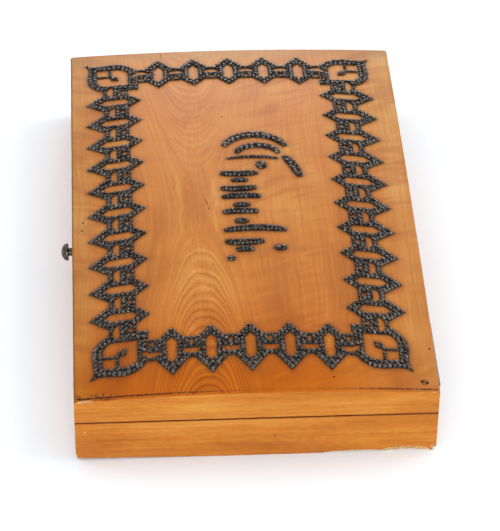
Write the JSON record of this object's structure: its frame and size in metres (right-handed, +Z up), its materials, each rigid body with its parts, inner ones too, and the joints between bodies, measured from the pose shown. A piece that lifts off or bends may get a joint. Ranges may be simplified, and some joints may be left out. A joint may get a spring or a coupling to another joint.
{
  "type": "playing card box",
  "caption": "Shallow hinged wooden box for packs of playing cards, with a crowned lid that carries a chain border and plain strokes in studded steel.",
  "frame": {"origin": "the middle of the underside of the base, between its outer wall faces", "axes": "+Z up, +Y along the box towards the end away from the picture's camera, +X from the wall with the button to the wall with the hinges"},
  "size_m": [0.1263, 0.19, 0.0386],
  "materials": {
    "satinwood": "old satin polish over straight-grained honey-coloured wood",
    "cut_steel": "dark polished steel",
    "hinge_steel": "dull, darkened steel"
  },
  "bodies": {
    "base": {"base_bottom": "satinwood", "base_front": "satinwood", "base_back": "satinwood", "base_near_end": "satinwood", "base_far_end": "satinwood", "button": "cut_steel", "hinge_near_base_leaf": "hinge_steel", "hinge_far_base_leaf": "hinge_steel"},
    "lid": {"lid_panel": "satinwood", "lid_front_rail": "satinwood", "lid_back_rail": "satinwood", "lid_near_rail": "satinwood", "lid_far_rail": "satinwood", "hinge_near_lid_leaf": "hinge_steel", "hinge_far_lid_leaf": "hinge_steel", "border_near": "cut_steel", "border_far": "cut_steel", "border_front": "cut_steel", "border_back": "cut_steel", "corner_near_front": "cut_steel", "corner_near_back": "cut_steel", "corner_far_front": "cut_steel", "corner_far_back": "cut_steel", "stroke_arch_outer": "cut_steel", "stroke_arch_inner": "cut_steel", "stroke_bar_1": "cut_steel", "stroke_bar_2": "cut_steel", "stroke_bar_3": "cut_steel", "stroke_bar_4": "cut_steel", "stroke_bar_5": "cut_steel", "stroke_bar_6": "cut_steel", "stroke_bar_7": "cut_steel", "stroke_bar_8": "cut_steel", "stroke_bar_9": "cut_steel", "stroke_bar_10": "cut_steel", "stroke_bar_11": "cut_steel", "stroke_tail": "cut_steel", "stroke_dot_1": "cut_steel", "stroke_dot_2": "cut_steel", "stroke_dot_3": "cut_steel"}
  },
  "joints": [
    {"name": "lid_hinge", "type": "hinge", "parent": "base", "child": "lid", "pos_m": [0.06095, 0, 0.0167], "axis": [0, 1, 0], "range_deg": [0, 170]}
  ]
}
